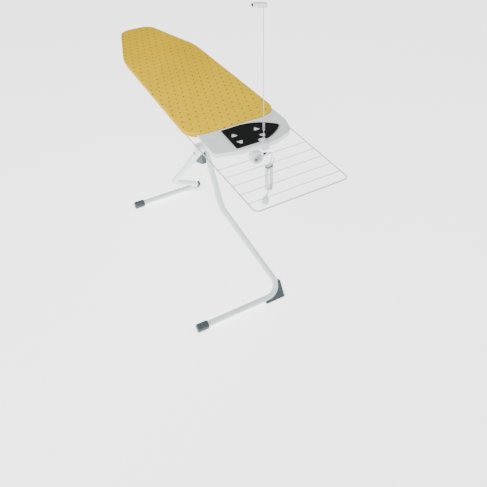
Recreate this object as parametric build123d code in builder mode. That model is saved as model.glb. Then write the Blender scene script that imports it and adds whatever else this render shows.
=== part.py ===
from build123d import *
from math import asin, atan2, cos, degrees, hypot, pi, radians, sin, tan
import os

os.makedirs("parts", exist_ok=True)

# Folding ironing board: a padded board on two bent-tube legs that cross like scissors,
# with an iron tray, a socket with its mains lead, a cable rod and a wire laundry rack.
# Millimetres, +X from the board's nose to the rack, +Z up, the feet on Z = 0.
# Places are given from the tail edge (x) and the board's centre line (y), see at().

# ------------------------------------------------------------------ board
board_height = 950.0          # top of the cover above the floor
board_length = 1240.0
tail_half_width = 226.5
shoulder_from_tail = 860.0
shoulder_half_width = 208.0
nose_half_width = 88.0
tail_radius = 90.0
shoulder_radius = 350.0
nose_radius = 75.0
cover_thickness = 1.2
cover_skirt = 27.0            # depth of the cover's side
cover_hem = 22.0              # width of the hem under the rim
pad_thickness = 6.0
mesh_thickness = 1.5
mesh_hole = 26.0              # across the flats of a mesh hole
mesh_pitch = 34.0
rim_diameter = 14.0
rim_wall = 1.2
rim_inset = 13.0              # cover's edge to the rim tube's axis
bar_diameter = 12.0
bar_places = (-30.0, -90.0, -330.0, -500.0, -760.0, -1010.0)
layer_gap = 0.3
fit_gap = 0.05                # radial gap of a pushed-on cap or sleeve

# ------------------------------------------------------------------ legs
tube_diameter = 30.0
tube_wall = 1.5
front_y = -100.0              # plane of the front leg's upper run
rear_y = -60.0
pivot_x = -200.0              # the crossing, where the two legs are bolted together
pivot_depth = 236.0           # the crossing below the board's top
hinge_depth = 65.0            # the front leg's hinge below the board's top
front_bend_x = -569.0
front_bend_z = 304.0
front_foot_x = -826.0
front_foot_corner_y = 166.0
front_foot_end_y = -265.0
slide_depth = 65.0            # the rear leg's sliding bar below the board's top
rear_bend_x = -53.0
rear_bend_z = 463.0
rear_foot_x = 205.0
rear_foot_corner_y = 137.0
rear_foot_end_y = -342.0
front_bend_radius = 100.0
front_foot_radius = 50.0
rear_bend_radius = 140.0
rear_foot_radius = 60.0
tube_overrun = 18.0           # tube beyond the hinge and beyond the sliding bar
cap_diameter = 42.0
cap_length = 56.0
cap_depth = 40.0              # tube inside the cap
sleeve_diameter = 39.0
sleeve_half_length = 145.0
fold_angle = 42.0             # front leg's turn from standing to folded, degrees
bolt_diameter = 8.0
running_gap = 0.05            # radial gap of a bolt in its bush
side_gap = 0.4                # between faces that turn against each other
bush_wall = 1.5

# ------------------------------------------------------------------ rail under the board
sheet = 2.0                   # steel sheet of the rail and brackets
rail_half_width = 66.0        # inside the rail's two side plates
rail_start_x = -212.0
rail_end_x = -545.0
rail_drop = 62.0              # side plate height
slide_bar_diameter = 8.0
slide_bush_diameter = 12.0
slot_gap = 0.6

# ------------------------------------------------------------------ lock lever
lever_pin_x = -232.0
lever_pin_depth = 45.0
lever_y = -18.0
lever_thickness = 5.0
lever_pin_diameter = 6.0
grip_length = 75.0

# ------------------------------------------------------------------ tray and iron rest
tray_step = 6.0               # the tray's top below the board's top
tray_depth = 20.0
tray_wall = 2.5
rest_thickness = 2.0
rest_lift = 1.6
screw_diameter = 4.0
screw_head = 8.0

# ------------------------------------------------------------------ laundry rack
rack_left_y = -206.0
rack_right_y = 220.0
rack_front_x = 542.0
rack_depth = 35.0             # the rack below the board's top
rack_wire = 5.0
cross_wire = 3.0
cross_pitch = 62.5
cross_count = 5
rack_corner = 22.0
guide_start = 20.0
guide_length = 40.0
rail_start = -65.0            # inner end of the rack's rails
guide_side = 8.0              # guide material outside the wire

# ------------------------------------------------------------------ socket and cable rod
socket_y = 3.0
socket_depth = 70.0           # the socket's axis below the board's top
socket_back_x = 160.0
socket_face_x = 197.0
socket_diameter = 60.0
socket_recess = 17.5
recess_diameter = 39.0
cord_diameter = 6.5
rod_x = 183.0
rod_y = 38.0
rod_diameter = 3.0
rod_rise = 600.0              # the rod's top above the board's top
rod_coil_diameter = 11.0
rod_coil_wire = 2.0
rod_coil_turns = 9

# ------------------------------------------------------------------ worked-out values
tail_x = (board_length - rack_front_x - rack_wire / 2) / 2
centre_y = (-rear_foot_end_y - rack_right_y - guide_side) / 2
pivot_z = board_height - pivot_depth
front_hinge_z = board_height - hinge_depth
slide_z = board_height - slide_depth
lever_pin_z = board_height - lever_pin_depth
tray_top = board_height - tray_step
rack_z = board_height - rack_depth
socket_z = board_height - socket_depth
rod_top_z = board_height + rod_rise
pad_top = board_height - cover_thickness - layer_gap
mesh_top = pad_top - pad_thickness - layer_gap
rim_z = mesh_top - mesh_thickness - rim_diameter / 2
web_top = rim_z - bar_diameter / 2
tube_radius = tube_diameter / 2
foot_z = cap_diameter / 2


def at(x, y, z):
    """A point from the tail edge, the board's centre line and the floor."""
    return Vector(tail_x + x, centre_y + y, z)


def unit(start, end):
    """The direction from one point to another."""
    return (end - start).normalized()


def save(builder, name):
    """Label a finished piece and write it to its own file."""
    builder.part.label = name
    export_step(builder.part, f"parts/{name}.step")


# Both upper ends follow from the legs' lines through the crossing.
front_hinge_x = pivot_x + (pivot_x - front_bend_x) * (front_hinge_z - pivot_z) / (pivot_z - front_bend_z)
slide_x = pivot_x - (rear_bend_x - pivot_x) * (slide_z - pivot_z) / (pivot_z - rear_bend_z)
hinge_arm = hypot(pivot_x - front_hinge_x, pivot_z - front_hinge_z)
slide_arm = hypot(slide_x - pivot_x, slide_z - pivot_z)
front_angle = atan2(front_hinge_z - pivot_z, front_hinge_x - pivot_x)
rear_angle = atan2(slide_z - pivot_z, pivot_x - slide_x)
folded_front_angle = front_angle - radians(fold_angle)
folded_rear_angle = asin((hinge_arm * sin(folded_front_angle) + slide_z - front_hinge_z) / slide_arm)
rear_turn = rear_angle - folded_rear_angle
fold_steps = 24
bar_path = []
for step in range(fold_steps + 1):
    share = step / fold_steps
    front_now = front_angle - share * radians(fold_angle)
    rear_now = rear_angle - share * rear_turn
    bar_path.append((
        front_hinge_x - hinge_arm * cos(front_now) - slide_arm * cos(rear_now),
        front_hinge_z - hinge_arm * sin(front_now) + slide_arm * sin(rear_now),
    ))
bar_low = min(point[1] for point in bar_path)
bar_high = max(point[1] for point in bar_path)
bar_far_x = min(point[0] for point in bar_path)
print("rear leg turn per front leg turn", -(rear_turn / radians(fold_angle)) - 1)
print("sliding bar", round(slide_x, 2), "to", round(bar_far_x, 2), "z", round(bar_low, 2), round(bar_high, 2))


def board_face(inset):
    """The board's plan outline, pulled in by inset."""
    half = [
        (tail_x, centre_y + tail_half_width),
        (tail_x - shoulder_from_tail, centre_y + shoulder_half_width),
        (tail_x - board_length, centre_y + nose_half_width),
    ]
    other = [(x, 2 * centre_y - y) for x, y in reversed(half)]
    radii = [tail_radius, shoulder_radius, nose_radius]
    with BuildSketch() as face:
        with BuildLine():
            FilletPolyline(*half, *other, radius=radii + radii[::-1], close=True)
        make_face()
        if inset:
            offset(amount=-inset)
    return face.sketch


def rod(start, end, diameter, bore=0):
    """A round bar or tube between two points."""
    with BuildPart() as bar:
        with BuildSketch(Plane(origin=start, z_dir=unit(start, end))):
            Circle(diameter / 2)
            if bore:
                Circle(bore / 2, mode=Mode.SUBTRACT)
        extrude(amount=(end - start).length)
    return bar


# ================================================================== board layers
with BuildPart() as cover:
    with BuildSketch(Plane.XY.offset(board_height - cover_skirt)):
        add(board_face(0))
    extrude(amount=cover_skirt)
    with BuildSketch(Plane.XY.offset(board_height - cover_skirt + cover_thickness)):
        add(board_face(cover_thickness))
    extrude(amount=cover_skirt - 2 * cover_thickness, mode=Mode.SUBTRACT)
    with BuildSketch(Plane.XY.offset(board_height - cover_skirt)):
        add(board_face(cover_hem))
    extrude(amount=cover_thickness, mode=Mode.SUBTRACT)
save(cover, "cover")

with BuildPart() as foam_pad:
    with BuildSketch(Plane.XY.offset(pad_top - pad_thickness)):
        add(board_face(cover_thickness + layer_gap))
    extrude(amount=pad_thickness)
save(foam_pad, "foam_pad")

mesh_columns = int((board_length - 90) / (mesh_pitch * 0.866))
mesh_rows = int(2 * tail_half_width / mesh_pitch)
mesh_edge = board_face(rim_inset - rim_diameter / 2).face().outer_wire()
mesh_clear = board_face(rim_inset + rim_diameter).face()
with BuildSketch() as mesh_cell:
    RegularPolygon(mesh_hole / 2, 6, major_radius=False)
cell_wire = mesh_cell.sketch.face().outer_wire()
mesh_centres = HexLocations(mesh_pitch / 2, mesh_columns, mesh_rows).local_locations
mesh_holes = []
for centre in mesh_centres:
    place = Location((tail_x - board_length / 2, centre_y)) * centre
    if mesh_clear.is_inside(place.position):
        mesh_holes.append(cell_wire.moved(place))
with BuildPart() as mesh_panel:
    with BuildSketch(Plane.XY.offset(mesh_top - mesh_thickness)):
        add(Face(mesh_edge, mesh_holes))
    extrude(amount=mesh_thickness)
save(mesh_panel, "mesh_panel")

rim_path = board_face(rim_inset).face().outer_wire().moved(Location((0, 0, rim_z)))
with BuildPart() as rim_frame:
    for radius, mode in ((rim_diameter / 2, Mode.ADD), (rim_diameter / 2 - rim_wall, Mode.SUBTRACT)):
        with BuildSketch(Plane(origin=rim_path @ 0, z_dir=rim_path % 0)):
            Circle(radius)
        sweep(path=rim_path, mode=mode)
save(rim_frame, "rim_frame")

with BuildPart() as rim_envelope:
    with BuildSketch(Plane(origin=rim_path @ 0, z_dir=rim_path % 0)):
        Circle(rim_diameter / 2)
    sweep(path=rim_path)

for number, place in enumerate(bar_places, start=1):
    with BuildPart() as cross_bar:
        add(rod(at(place, -tail_half_width, rim_z), at(place, tail_half_width, rim_z), bar_diameter).part)
        with BuildSketch(Plane.XY.offset(rim_z - bar_diameter)):
            add(board_face(rim_inset))
        extrude(amount=2 * bar_diameter, mode=Mode.INTERSECT)
        add(rim_envelope.part, mode=Mode.SUBTRACT)
    save(cross_bar, f"cross_bar_{number}")


# ================================================================== legs
def leg_tube(top, bend, foot_x, corner_y, end_y, bend_radius, foot_radius):
    """A single bent tube: upper run, diagonal run and foot."""
    line = unit(bend, top)
    start = top + line * tube_overrun
    corner = at(foot_x, corner_y, foot_z)
    end = at(foot_x, end_y + cap_length - cap_depth, foot_z)
    with BuildPart() as leg:
        with BuildLine() as path:
            FilletPolyline(start, bend, corner, end, radius=[bend_radius, foot_radius])
        for radius, mode in ((tube_radius, Mode.ADD), (tube_radius - tube_wall, Mode.SUBTRACT)):
            with BuildSketch(Plane(origin=path.line @ 0, z_dir=path.line % 0)):
                Circle(radius)
            sweep(path=path.line, mode=mode)
    return leg


def cross_pin(place, diameter, half_width=tube_diameter):
    """A bar along Y, centred on a place, for a hole through a leg or for a bush."""
    side = Vector(0, half_width, 0)
    return rod(place - side, place + side, diameter).part


bush_diameter = bolt_diameter + 2 * running_gap + 2 * bush_wall
front_top = at(front_hinge_x, front_y, front_hinge_z)
front_bend = at(front_bend_x, front_y, front_bend_z)
rear_top = at(slide_x, rear_y, slide_z)
rear_bend = at(rear_bend_x, rear_y, rear_bend_z)
pivot = at(pivot_x, front_y, pivot_z)
rear_pivot = at(pivot_x, rear_y, pivot_z)
along_front = unit(front_bend, front_top)
along_rear = unit(rear_bend, rear_top)

with BuildPart() as front_leg_tube:
    add(leg_tube(front_top, front_bend, front_foot_x, front_foot_corner_y, front_foot_end_y,
                 front_bend_radius, front_foot_radius).part)
    add(cross_pin(front_top, bush_diameter), mode=Mode.SUBTRACT)
    add(cross_pin(pivot, bolt_diameter), mode=Mode.SUBTRACT)
save(front_leg_tube, "front_leg_tube")

with BuildPart() as rear_leg_tube:
    add(leg_tube(rear_top, rear_bend, rear_foot_x, rear_foot_corner_y, rear_foot_end_y,
                 rear_bend_radius, rear_foot_radius).part)
    add(cross_pin(rear_top, slide_bar_diameter), mode=Mode.SUBTRACT)
    add(cross_pin(rear_pivot, bush_diameter), mode=Mode.SUBTRACT)
save(rear_leg_tube, "rear_leg_tube")


def foot_cap(name, foot_x, end_y):
    """The ribbed plastic cap on a foot's open end."""
    with BuildPart() as cap:
        with BuildSketch(Plane(origin=at(foot_x, end_y, foot_z), z_dir=(0, 1, 0))):
            Circle(cap_diameter / 2)
        extrude(amount=cap_length)
        fillet(cap.edges().sort_by(Axis.Y)[0], 5)
        with BuildSketch(Plane(origin=at(foot_x, end_y + cap_length - cap_depth, foot_z), z_dir=(0, 1, 0))):
            Circle(tube_radius + fit_gap)
        extrude(amount=cap_depth, mode=Mode.SUBTRACT)
    save(cap, name)


foot_cap("front_cap", front_foot_x, front_foot_end_y)
foot_cap("rear_cap", rear_foot_x, rear_foot_end_y)

glide_width = 26.0
glide_rise = 62.0
glide_run = 105.0
glide_toe = 2.0               # toe inside the corner of the tube's centre lines
glide_cheek = 6.0             # wedge outside the upright run


def foot_glide(name, bend, foot_x, corner_y, bend_radius):
    """The wedge on the outside of a foot's bend, lying in the bend's own plane."""
    corner = at(foot_x, corner_y, foot_z)
    far = at(foot_x, corner_y - 2 * glide_run, foot_z)
    along = unit(corner, far)
    up = unit(corner, bend)
    plane = Plane(origin=corner, x_dir=along, z_dir=along.cross(up))
    lean = radians(along.get_angle(up))
    rise = Vector(cos(lean), sin(lean))
    outward = Vector(-sin(lean), cos(lean)) * (tube_radius + glide_cheek)
    drop = foot_z / plane.y_dir.Z
    toe = Vector(glide_toe, -drop)
    middle = Vector(cos(lean / 2), sin(lean / 2)) * (bend_radius / sin(lean / 2) - bend_radius - 9)
    top = rise * glide_rise
    with BuildPart() as glide:
        with BuildSketch(plane):
            with BuildLine():
                Polyline((glide_run, -4), (glide_run, -drop), toe, top + outward, top + outward * 0.05, middle,
                         close=True)
            make_face()
        extrude(amount=glide_width / 2, both=True)
        with BuildSketch(Plane.XY):
            Rectangle(6 * board_length, 6 * board_length)
        extrude(amount=-tube_diameter * 3, mode=Mode.SUBTRACT)
        with BuildLine() as path:
            FilletPolyline(bend, corner, far, radius=bend_radius)
        with BuildSketch(Plane(origin=path.line @ 0, z_dir=path.line % 0)):
            Circle(tube_radius + fit_gap)
        sweep(path=path.line, mode=Mode.SUBTRACT)
    save(glide, name)


foot_glide("front_glide", front_bend, front_foot_x, front_foot_corner_y, front_foot_radius)
foot_glide("rear_glide", rear_bend, rear_foot_x, rear_foot_corner_y, rear_foot_radius)


def end_plug(name, end, outward):
    """The plastic plug in a leg's open upper end."""
    with BuildPart() as plug:
        with BuildSketch(Plane(origin=end - outward * 8, z_dir=outward)):
            Circle(tube_radius - tube_wall - fit_gap)
        extrude(amount=8)
        with BuildSketch(Plane(origin=end + outward * fit_gap, z_dir=outward)):
            Circle(tube_radius)
        extrude(amount=3)
        fillet(plug.faces().sort_by(Axis(end, outward))[-1].edges(), 1.5)
        with BuildSketch(Plane(origin=end, z_dir=outward)):
            Circle(tube_radius - tube_wall - fit_gap)
        extrude(amount=fit_gap)
    save(plug, name)


end_plug("front_end_plug", front_top + along_front * tube_overrun, along_front)
end_plug("rear_end_plug", rear_top + along_rear * tube_overrun, along_rear)

with BuildPart() as pivot_sleeve:
    add(rod(pivot - along_front * sleeve_half_length, pivot + along_front * sleeve_half_length,
            sleeve_diameter, tube_diameter + 2 * fit_gap).part)
    add(cross_pin(pivot, bolt_diameter), mode=Mode.SUBTRACT)
save(pivot_sleeve, "pivot_sleeve")

screw_places = (sleeve_half_length - 9, sleeve_half_length - 22)
with BuildPart() as sleeve_screws:
    outward = (Vector(0, -1, 0) + along_front.cross(Vector(0, 1, 0)) * 0.5).normalized()
    for place in screw_places:
        foot = pivot - along_front * place + outward * sleeve_diameter / 2
        add(rod(foot, foot + outward * 2, 7).part)
save(sleeve_screws, "sleeve_screws")


def bolt(name, start, length, head_height=5.0, head_diameter=15.0):
    """A round-head bolt along +Y, its shank starting at a place on its axis."""
    with BuildPart() as shank:
        with BuildSketch(Plane(origin=start, z_dir=(0, 1, 0))):
            Circle(bolt_diameter / 2)
        extrude(amount=length)
        with BuildSketch(Plane(origin=start, z_dir=(0, -1, 0))):
            Circle(head_diameter / 2)
        extrude(amount=head_height)
        fillet(shank.edges().sort_by(Axis.Y)[0], 2)
    save(shank, name)


def nut(name, start, height=6.5, across=13.0):
    """A hexagon nut on the bolt's end, its face towards -Y at the place given."""
    with BuildPart() as body:
        with BuildSketch(Plane(origin=start, z_dir=(0, 1, 0))):
            RegularPolygon(across / 2, 6, major_radius=False)
            Circle(bolt_diameter / 2, mode=Mode.SUBTRACT)
        extrude(amount=height)
    save(body, name)


def bush(name, place, half_width):
    """A nylon bush through a leg, running on a bolt."""
    with BuildPart() as sleeve:
        add(cross_pin(place, bush_diameter, half_width))
        add(cross_pin(place, bolt_diameter + 2 * running_gap), mode=Mode.SUBTRACT)
    save(sleeve, name)


# The crossing: the bolt stands in the front leg's sleeve and the rear leg turns on it.
pivot_start = pivot - Vector(0, sleeve_diameter / 2, 0)
nut_start = rear_pivot + Vector(0, tube_radius + side_gap, 0)
bolt("pivot_bolt", pivot_start, nut_start.Y - pivot_start.Y + 9)
nut("pivot_nut", nut_start)
bush("rear_pivot_bush", rear_pivot, tube_radius)

block_face_y = rear_y - tube_radius - side_gap
block_arm = 118.0
with BuildPart() as pivot_block:
    with BuildSketch(Plane(origin=at(pivot_x, block_face_y, pivot_z), x_dir=(1, 0, 0), z_dir=(0, -1, 0))):
        with BuildLine():
            FilletPolyline(
                (26, 12), (-along_rear.X * 62, -along_rear.Z * 62),
                (-along_front.X * block_arm + 12, -along_front.Z * block_arm - 6),
                (-along_front.X * block_arm - 6, -along_front.Z * block_arm + 6),
                (-26, 12), radius=[12, 8, 5, 12, 8], close=True,
            )
        make_face()
    extrude(amount=sleeve_diameter / 2 - side_gap)
    reach = along_front * 2 * sleeve_half_length
    add(rod(pivot - reach, pivot + reach, sleeve_diameter + 2 * fit_gap).part, mode=Mode.SUBTRACT)
    add(cross_pin(pivot, bolt_diameter, 2 * tube_diameter), mode=Mode.SUBTRACT)
save(pivot_block, "pivot_block")

# ================================================================== hinge bracket and rail
ear_gap = tube_radius + 1.6
bracket_nose = 52.0           # bracket's reach from the hinge towards the nose
bracket_length = 72.0
bracket_drop = 59.0
with BuildPart() as hinge_bracket:
    with BuildSketch(Plane(origin=at(front_hinge_x - bracket_nose, front_y, web_top), z_dir=(1, 0, 0),
                           x_dir=(0, 1, 0))):
        with Locations((0, -sheet / 2)):
            Rectangle(2 * (ear_gap + sheet), sheet)
        with Locations((-ear_gap - sheet / 2, -bracket_drop / 2), (ear_gap + sheet / 2, -bracket_drop / 2)):
            Rectangle(sheet, bracket_drop)
    extrude(amount=bracket_length)
    fillet(hinge_bracket.edges().filter_by(Axis.Y).group_by(Axis.Z)[0], 18)
    add(cross_pin(front_top, bolt_diameter, 60), mode=Mode.SUBTRACT)
save(hinge_bracket, "hinge_bracket")
hinge_start = front_top - Vector(0, ear_gap + sheet, 0)
hinge_nut_start = front_top + Vector(0, ear_gap + sheet, 0)
bolt("hinge_bolt", hinge_start, 2 * (ear_gap + sheet) + 9)
nut("hinge_nut", hinge_nut_start)
bush("front_hinge_bush", front_top, ear_gap - side_gap)

slot_radius = slide_bush_diameter / 2 + slot_gap
with BuildPart() as height_rail:
    with BuildSketch(Plane(origin=at(rail_end_x, rear_y, web_top), z_dir=(1, 0, 0), x_dir=(0, 1, 0))):
        with Locations((0, -sheet / 2)):
            Rectangle(2 * (rail_half_width + sheet), sheet)
        for side in (-1, 1):
            with Locations((side * (rail_half_width + sheet / 2), -rail_drop / 2)):
                Rectangle(sheet, rail_drop)
    extrude(amount=rail_start_x - rail_end_x)
    fillet(height_rail.edges().filter_by(Axis.Y).group_by(Axis.Z)[0], 14)
    with BuildSketch(Plane.XZ.offset(-centre_y - rear_y - 2 * rail_half_width)):
        with Locations((tail_x + (slide_x + bar_far_x) / 2, (bar_low + bar_high) / 2)):
            RectangleRounded(slide_x - bar_far_x + 2 * slot_radius, bar_high - bar_low + 2 * slot_radius, 5)
    extrude(amount=4 * rail_half_width, mode=Mode.SUBTRACT)
    with BuildSketch(Plane(origin=at(rail_end_x + 60, rear_y, web_top + 1))):
        with GridLocations(0, 56, 1, 2):
            SlotOverall(60, 16)
    extrude(amount=-3 * sheet, mode=Mode.SUBTRACT)
    lever_pin_place = at(lever_pin_x, rear_y + rail_half_width, lever_pin_z)
    add(cross_pin(lever_pin_place, lever_pin_diameter, 10), mode=Mode.SUBTRACT)
save(height_rail, "height_rail")

bar_half = rail_half_width + sheet + 7
with BuildPart() as slide_bar:
    add(cross_pin(rear_top, slide_bar_diameter, bar_half))
save(slide_bar, "slide_bar")
with BuildPart() as slide_bushes:
    for side in (-1, 1):
        inside = rear_top + Vector(0, side * (rail_half_width - 3), 0)
        flange = rear_top + Vector(0, side * (rail_half_width + sheet + side_gap), 0)
        outside = rear_top + Vector(0, side * (bar_half - 1), 0)
        add(rod(inside, outside, slide_bush_diameter, slide_bar_diameter).part)
        add(rod(flange, outside, slide_bush_diameter + 8, slide_bar_diameter).part)
save(slide_bushes, "slide_bushes")

# ================================================================== lock lever
pin_far = at(lever_pin_x, lever_y - 9, lever_pin_z)
with BuildPart() as lever_pin:
    add(rod(at(lever_pin_x, rear_y + rail_half_width + sheet, lever_pin_z), pin_far, lever_pin_diameter).part)
    add(rod(pin_far, pin_far - Vector(0, 2, 0), lever_pin_diameter + 4).part)
save(lever_pin, "lever_pin")

lever_reach = 46.0
lever_end = lever_reach + grip_length
lever_depth = 9.0
with BuildPart() as release_lever:
    with BuildSketch(Plane(origin=at(lever_pin_x, lever_y, lever_pin_z), x_dir=(1, 0, 0), z_dir=(0, -1, 0))):
        Circle(9)
        with Locations((lever_end / 2, 0)):
            Rectangle(lever_end, lever_depth)
        with BuildLine():
            fork_x = slide_x - lever_pin_x
            fork_z = slide_z - lever_pin_z - slide_bar_diameter / 2 - 0.8
            Polyline((0, -8), (fork_x + 14, fork_z - 5), (fork_x - 6, fork_z - 5), (fork_x - 6, fork_z),
                     (fork_x + 14, fork_z), (-6, 6), close=True)
        make_face()
        Circle(lever_pin_diameter / 2 + running_gap, mode=Mode.SUBTRACT)
    extrude(amount=lever_thickness / 2, both=True)
save(release_lever, "release_lever")

with BuildPart() as lever_grip:
    with BuildSketch(Plane(origin=at(lever_pin_x + lever_reach, lever_y, lever_pin_z), z_dir=(1, 0, 0))):
        RectangleRounded(16, 15, 6)
    extrude(amount=grip_length + 18)
    fillet(lever_grip.faces().sort_by(Axis.X)[-1].edges(), 4)
    with BuildSketch(Plane(origin=at(lever_pin_x + lever_reach, lever_y, lever_pin_z), x_dir=(0, 1, 0),
                           z_dir=(1, 0, 0))):
        Rectangle(lever_thickness + 2 * fit_gap, lever_depth + 2 * fit_gap)
    extrude(amount=grip_length + fit_gap, mode=Mode.SUBTRACT)
save(lever_grip, "lever_grip")

# ================================================================== tray and iron rest
tray_bottom = tray_top - tray_depth
tray_front = 198.0
recess_inset = 30.0
recess_depth = 3.0
cover_gap = 0.8
rest_screw_places = ((40, -62), (150, -65), (60, 98), (136, 98))


def tray_face(inset):
    """The tray's plan outline beside the board's tail, pulled in by inset."""
    with BuildSketch() as face:
        with BuildLine():
            FilletPolyline(
                *[(tail_x + x, centre_y + y) for x, y in (
                    (-60, -178), (tray_front - 38, -188), (tray_front - 4, -66), (tray_front, 92),
                    (tray_front - 40, 194), (70, 219), (-60, 216),
                )],
                radius=[4, 20, 130, 130, 55, 60, 4], close=True,
            )
        make_face()
        add(board_face(-cover_gap), mode=Mode.SUBTRACT)
        if inset:
            offset(amount=-inset)
    return face.sketch


def rest_face(inset=0):
    """The iron rest's outline, the shape of an iron's sole with its tip at +Y."""
    heel, waist, tip = -82.0, 30.0, 168.0
    near, far, middle = 15.0, 174.0, 98.0
    with BuildSketch() as face:
        with BuildLine():
            places = [(far, waist), (far, heel - 3), (near + 2, heel + 2), (near, waist - 20)]
            corners = [Vector(tail_x + x, centre_y + y) for x, y in places]
            point = Vector(tail_x + middle, centre_y + tip)
            Polyline(*corners)
            ThreePointArc(corners[-1], Vector(tail_x + near + 29, centre_y + 108), point)
            ThreePointArc(point, Vector(tail_x + far - 27, centre_y + 108), corners[0])
        make_face()
        fillet(face.vertices().group_by(Axis.Y)[0], 5)
        fillet(face.vertices().sort_by(Axis.Y)[-1], 9)
        if inset:
            offset(amount=-inset)
    return face.sketch


strap_places = (-150.0, 105.0)
boss_x = 118.0
strap_top = board_height - cover_skirt - layer_gap
recess_floor = tray_top - recess_depth
with BuildPart() as tray:
    with BuildSketch(Plane.XY.offset(tray_bottom)):
        add(tray_face(0))
    extrude(amount=tray_depth)
    fillet(tray.faces().sort_by(Axis.Z)[-1].outer_wire().edges(), 1.2)
    with BuildSketch(Plane.XY.offset(recess_floor)):
        add(tray_face(recess_inset))
    extrude(amount=recess_depth, mode=Mode.SUBTRACT)
    with BuildSketch(Plane.XY.offset(tray_bottom)):
        add(tray_face(tray_wall))
    extrude(amount=tray_depth - recess_depth - tray_wall, mode=Mode.SUBTRACT)
    for place in strap_places:
        with BuildSketch(Plane(origin=at(boss_x, place, strap_top))):
            Circle(8)
        extrude(amount=recess_floor - tray_wall - strap_top)
    for place in strap_places:
        with BuildSketch(Plane(origin=at(boss_x, place, strap_top))):
            Circle(1.6)
        extrude(amount=10, mode=Mode.SUBTRACT)
    for x, y in rest_screw_places:
        add(rod(at(x, y, recess_floor), at(x, y, tray_top), 2.5 * screw_diameter, screw_diameter).part)
save(tray, "tray")

for place, name in zip(strap_places, ("tray_strap_left", "tray_strap_right")):
    with BuildPart() as strap:
        with BuildSketch(Plane(origin=at(0, place, 0), x_dir=(1, 0, 0), z_dir=(0, -1, 0))):
            with BuildLine():
                upper = [(-112, web_top), (-48, web_top), (-36, strap_top), (boss_x + 14, strap_top)]
                lower = [(x, z - sheet) for x, z in reversed(upper)]
                Polyline(*upper, *lower, close=True)
            make_face()
        extrude(amount=11, both=True)
        with BuildSketch(Plane(origin=at(boss_x, place, strap_top))):
            Circle(screw_diameter / 2)
        extrude(amount=-3 * sheet, mode=Mode.SUBTRACT)
    save(strap, name)

with BuildPart() as strap_screws:
    for place in strap_places:
        head = at(boss_x, place, strap_top - sheet - 2.4)
        add(rod(head, head + Vector(0, 0, 2.4), screw_head).part)
        add(rod(head, head + Vector(0, 0, 10), 3.0).part)
save(strap_screws, "strap_screws")

rest_bottom = tray_top + layer_gap
rest_top = rest_bottom + rest_thickness + rest_lift
hole_places = ((79, -48, 90), (129, -48, -90), (79, 62, 90), (129, 62, -90))
with BuildSketch() as drop_shape:
    with BuildLine():
        FilletPolyline((-19, -9), (19, -9), (0, 26), radius=[6, 6, 5], close=True)
    make_face()
with BuildPart() as iron_rest:
    with BuildSketch(Plane.XY.offset(rest_bottom)):
        add(rest_face())
    extrude(amount=rest_thickness + rest_lift)
    with BuildSketch(Plane.XY.offset(rest_bottom + rest_thickness)):
        add(rest_face(4))
    extrude(amount=rest_lift, mode=Mode.SUBTRACT)
    with BuildSketch(Plane.XY.offset(rest_bottom)):
        for x, y, turn in hole_places:
            with Locations(Location((tail_x + x, centre_y + y, 0), (0, 0, turn))):
                add(drop_shape.sketch)
    extrude(amount=rest_thickness, mode=Mode.SUBTRACT)
    with BuildSketch(Plane.XY.offset(rest_bottom)):
        with Locations(*[(tail_x + x, centre_y + y) for x, y in rest_screw_places]):
            Circle(screw_diameter / 2)
    extrude(amount=rest_thickness, mode=Mode.SUBTRACT)
save(iron_rest, "iron_rest")

with BuildPart() as rest_screws:
    for x, y in rest_screw_places:
        under = at(x, y, rest_bottom + rest_thickness)
        add(rod(under, under + Vector(0, 0, 1.6), screw_head).part)
        add(rod(at(x, y, recess_floor), under, screw_diameter - 0.4).part)
save(rest_screws, "rest_screws")

# ================================================================== laundry rack
guide_end = guide_start + guide_length
with BuildPart() as rack_frame:
    with BuildLine() as path:
        FilletPolyline(at(rail_start, rack_left_y, rack_z), at(rack_front_x, rack_left_y, rack_z),
                       at(rack_front_x, rack_right_y, rack_z), at(rail_start, rack_right_y, rack_z),
                       radius=rack_corner)
    with BuildSketch(Plane(origin=path.line @ 0, z_dir=path.line % 0)):
        Circle(rack_wire / 2)
    sweep()
save(rack_frame, "rack_frame")

cross_z = rack_z - (rack_wire + cross_wire) / 2
with BuildPart() as rack_cross_wires:
    for number in range(1, cross_count + 1):
        x = rack_front_x - number * cross_pitch
        add(rod(at(x, rack_left_y - rack_wire / 2, cross_z), at(x, rack_right_y + rack_wire / 2, cross_z),
                cross_wire).part)
save(rack_cross_wires, "rack_cross_wires")

for y, inner, name in ((rack_left_y, rack_left_y + 34, "rack_guide_left"),
                       (rack_right_y, rack_right_y - 30, "rack_guide_right")):
    low, high = sorted((y + (guide_side if inner < y else -guide_side), inner))
    with BuildPart() as guide:
        with BuildSketch(Plane(origin=at(guide_start, (low + high) / 2, rack_z), z_dir=(1, 0, 0),
                               x_dir=(0, 1, 0))):
            with Locations((0, (tray_bottom - layer_gap - rack_z - 8) / 2)):
                Rectangle(high - low, tray_bottom - layer_gap - rack_z + 8)
        extrude(amount=guide_end - guide_start)
        fillet(guide.edges().filter_by(Axis.X).group_by(Axis.Z)[0], 3)
        add(rod(at(guide_start - 1, y, rack_z), at(guide_end + 1, y, rack_z), rack_wire + 4 * running_gap).part,
            mode=Mode.SUBTRACT)
    save(guide, name)

# ================================================================== socket
axis_start = at(socket_back_x, socket_y, socket_z)
axis_end = at(socket_face_x, socket_y, socket_z)
recess_start = axis_end - Vector(socket_recess, 0, 0)
insert_back = recess_start - Vector(4, 0, 0)
with BuildPart() as socket_body:
    add(rod(axis_start, axis_end, socket_diameter).part)
    fillet(socket_body.edges().filter_by(GeomType.CIRCLE), 3)
    add(rod(insert_back, axis_end + Vector(1, 0, 0), recess_diameter + 6).part, mode=Mode.SUBTRACT)
save(socket_body, "socket_body")

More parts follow.
